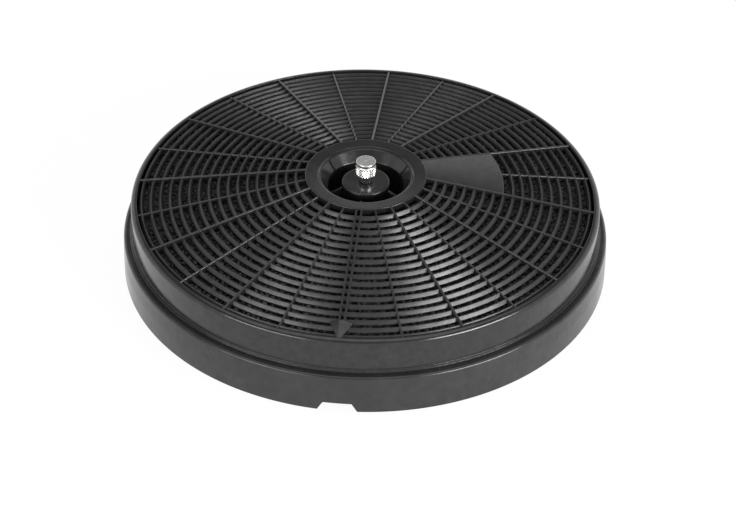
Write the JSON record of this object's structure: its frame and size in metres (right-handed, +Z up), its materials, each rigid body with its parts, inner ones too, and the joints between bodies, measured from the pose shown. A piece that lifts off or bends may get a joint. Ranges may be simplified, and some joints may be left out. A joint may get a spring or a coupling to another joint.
{
  "type": "cooker hood carbon filter",
  "caption": "Round charcoal filter for a recirculating cooker hood: moulded slatted cover and skirted tray with charcoal between, held by a central knurled thumb screw.",
  "frame": {"origin": "centre of the skirt's foot, on the surface that the filter stands on", "axes": "+Z up along the thumb screw, from the motor side to the slatted cover; -Y towards the cover's arrow and the notch in the skirt"},
  "size_m": [0.233, 0.233, 0.0575],
  "materials": {
    "black_moulding": "satin moulded polypropylene",
    "charcoal": "dull granules",
    "nickel_plate": "bright nickel-plated brass",
    "spring_steel": "plain spring steel"
  },
  "bodies": {
    "filter": {"grille_cover": "black_moulding", "base_tray": "black_moulding", "charcoal_bed": "charcoal"},
    "screw": {"thumb_screw": "nickel_plate", "retaining_ring": "spring_steel"}
  },
  "joints": [
    {"name": "screw_turn", "type": "hinge", "parent": "filter", "child": "screw", "pos_m": [0, 0, 0.046], "axis": [0, 0, 1], "continuous": true}
  ]
}
